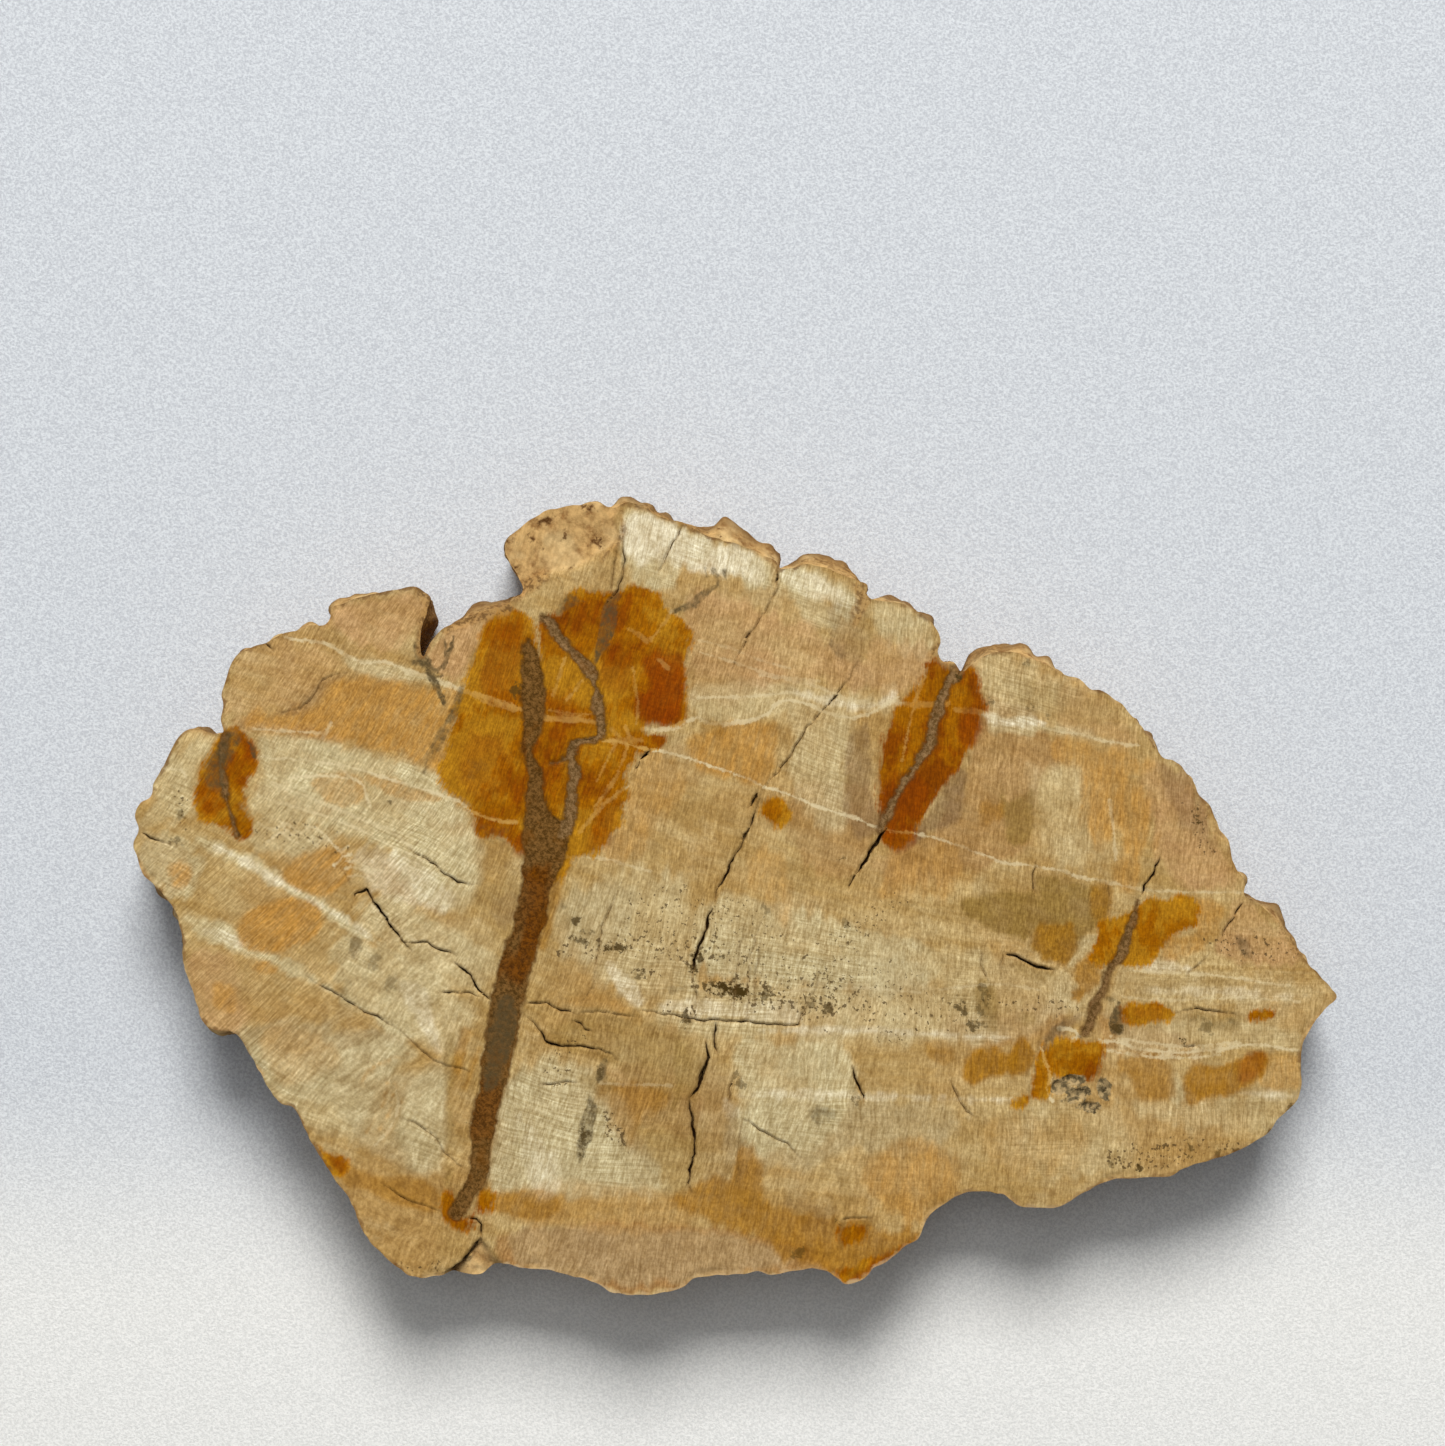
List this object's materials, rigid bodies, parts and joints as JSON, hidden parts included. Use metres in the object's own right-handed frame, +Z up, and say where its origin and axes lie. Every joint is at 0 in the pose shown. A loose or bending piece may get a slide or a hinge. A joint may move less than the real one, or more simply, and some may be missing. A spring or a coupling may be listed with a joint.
{
  "type": "petrified wood slice",
  "caption": "Flat slab sawn across a petrified log, with a polished agatized face, a rough bark rim and a flat back to lie on.",
  "frame": {"origin": "middle of the slab's bounding box, on the flat sawn back that it lies on", "axes": "+Z up out of the polished face, +X along the slab's longest extent towards its pointed end, +Y towards the lobed edge with the broken corner"},
  "size_m": [0.151, 0.1, 0.015],
  "materials": {
    "petrified_wood": "satin polished sawn face with cream, tan and amber agate, and a rough matt brown rim"
  },
  "bodies": {
    "root": {"petrified_wood_slice": "petrified_wood"}
  },
  "joints": []
}
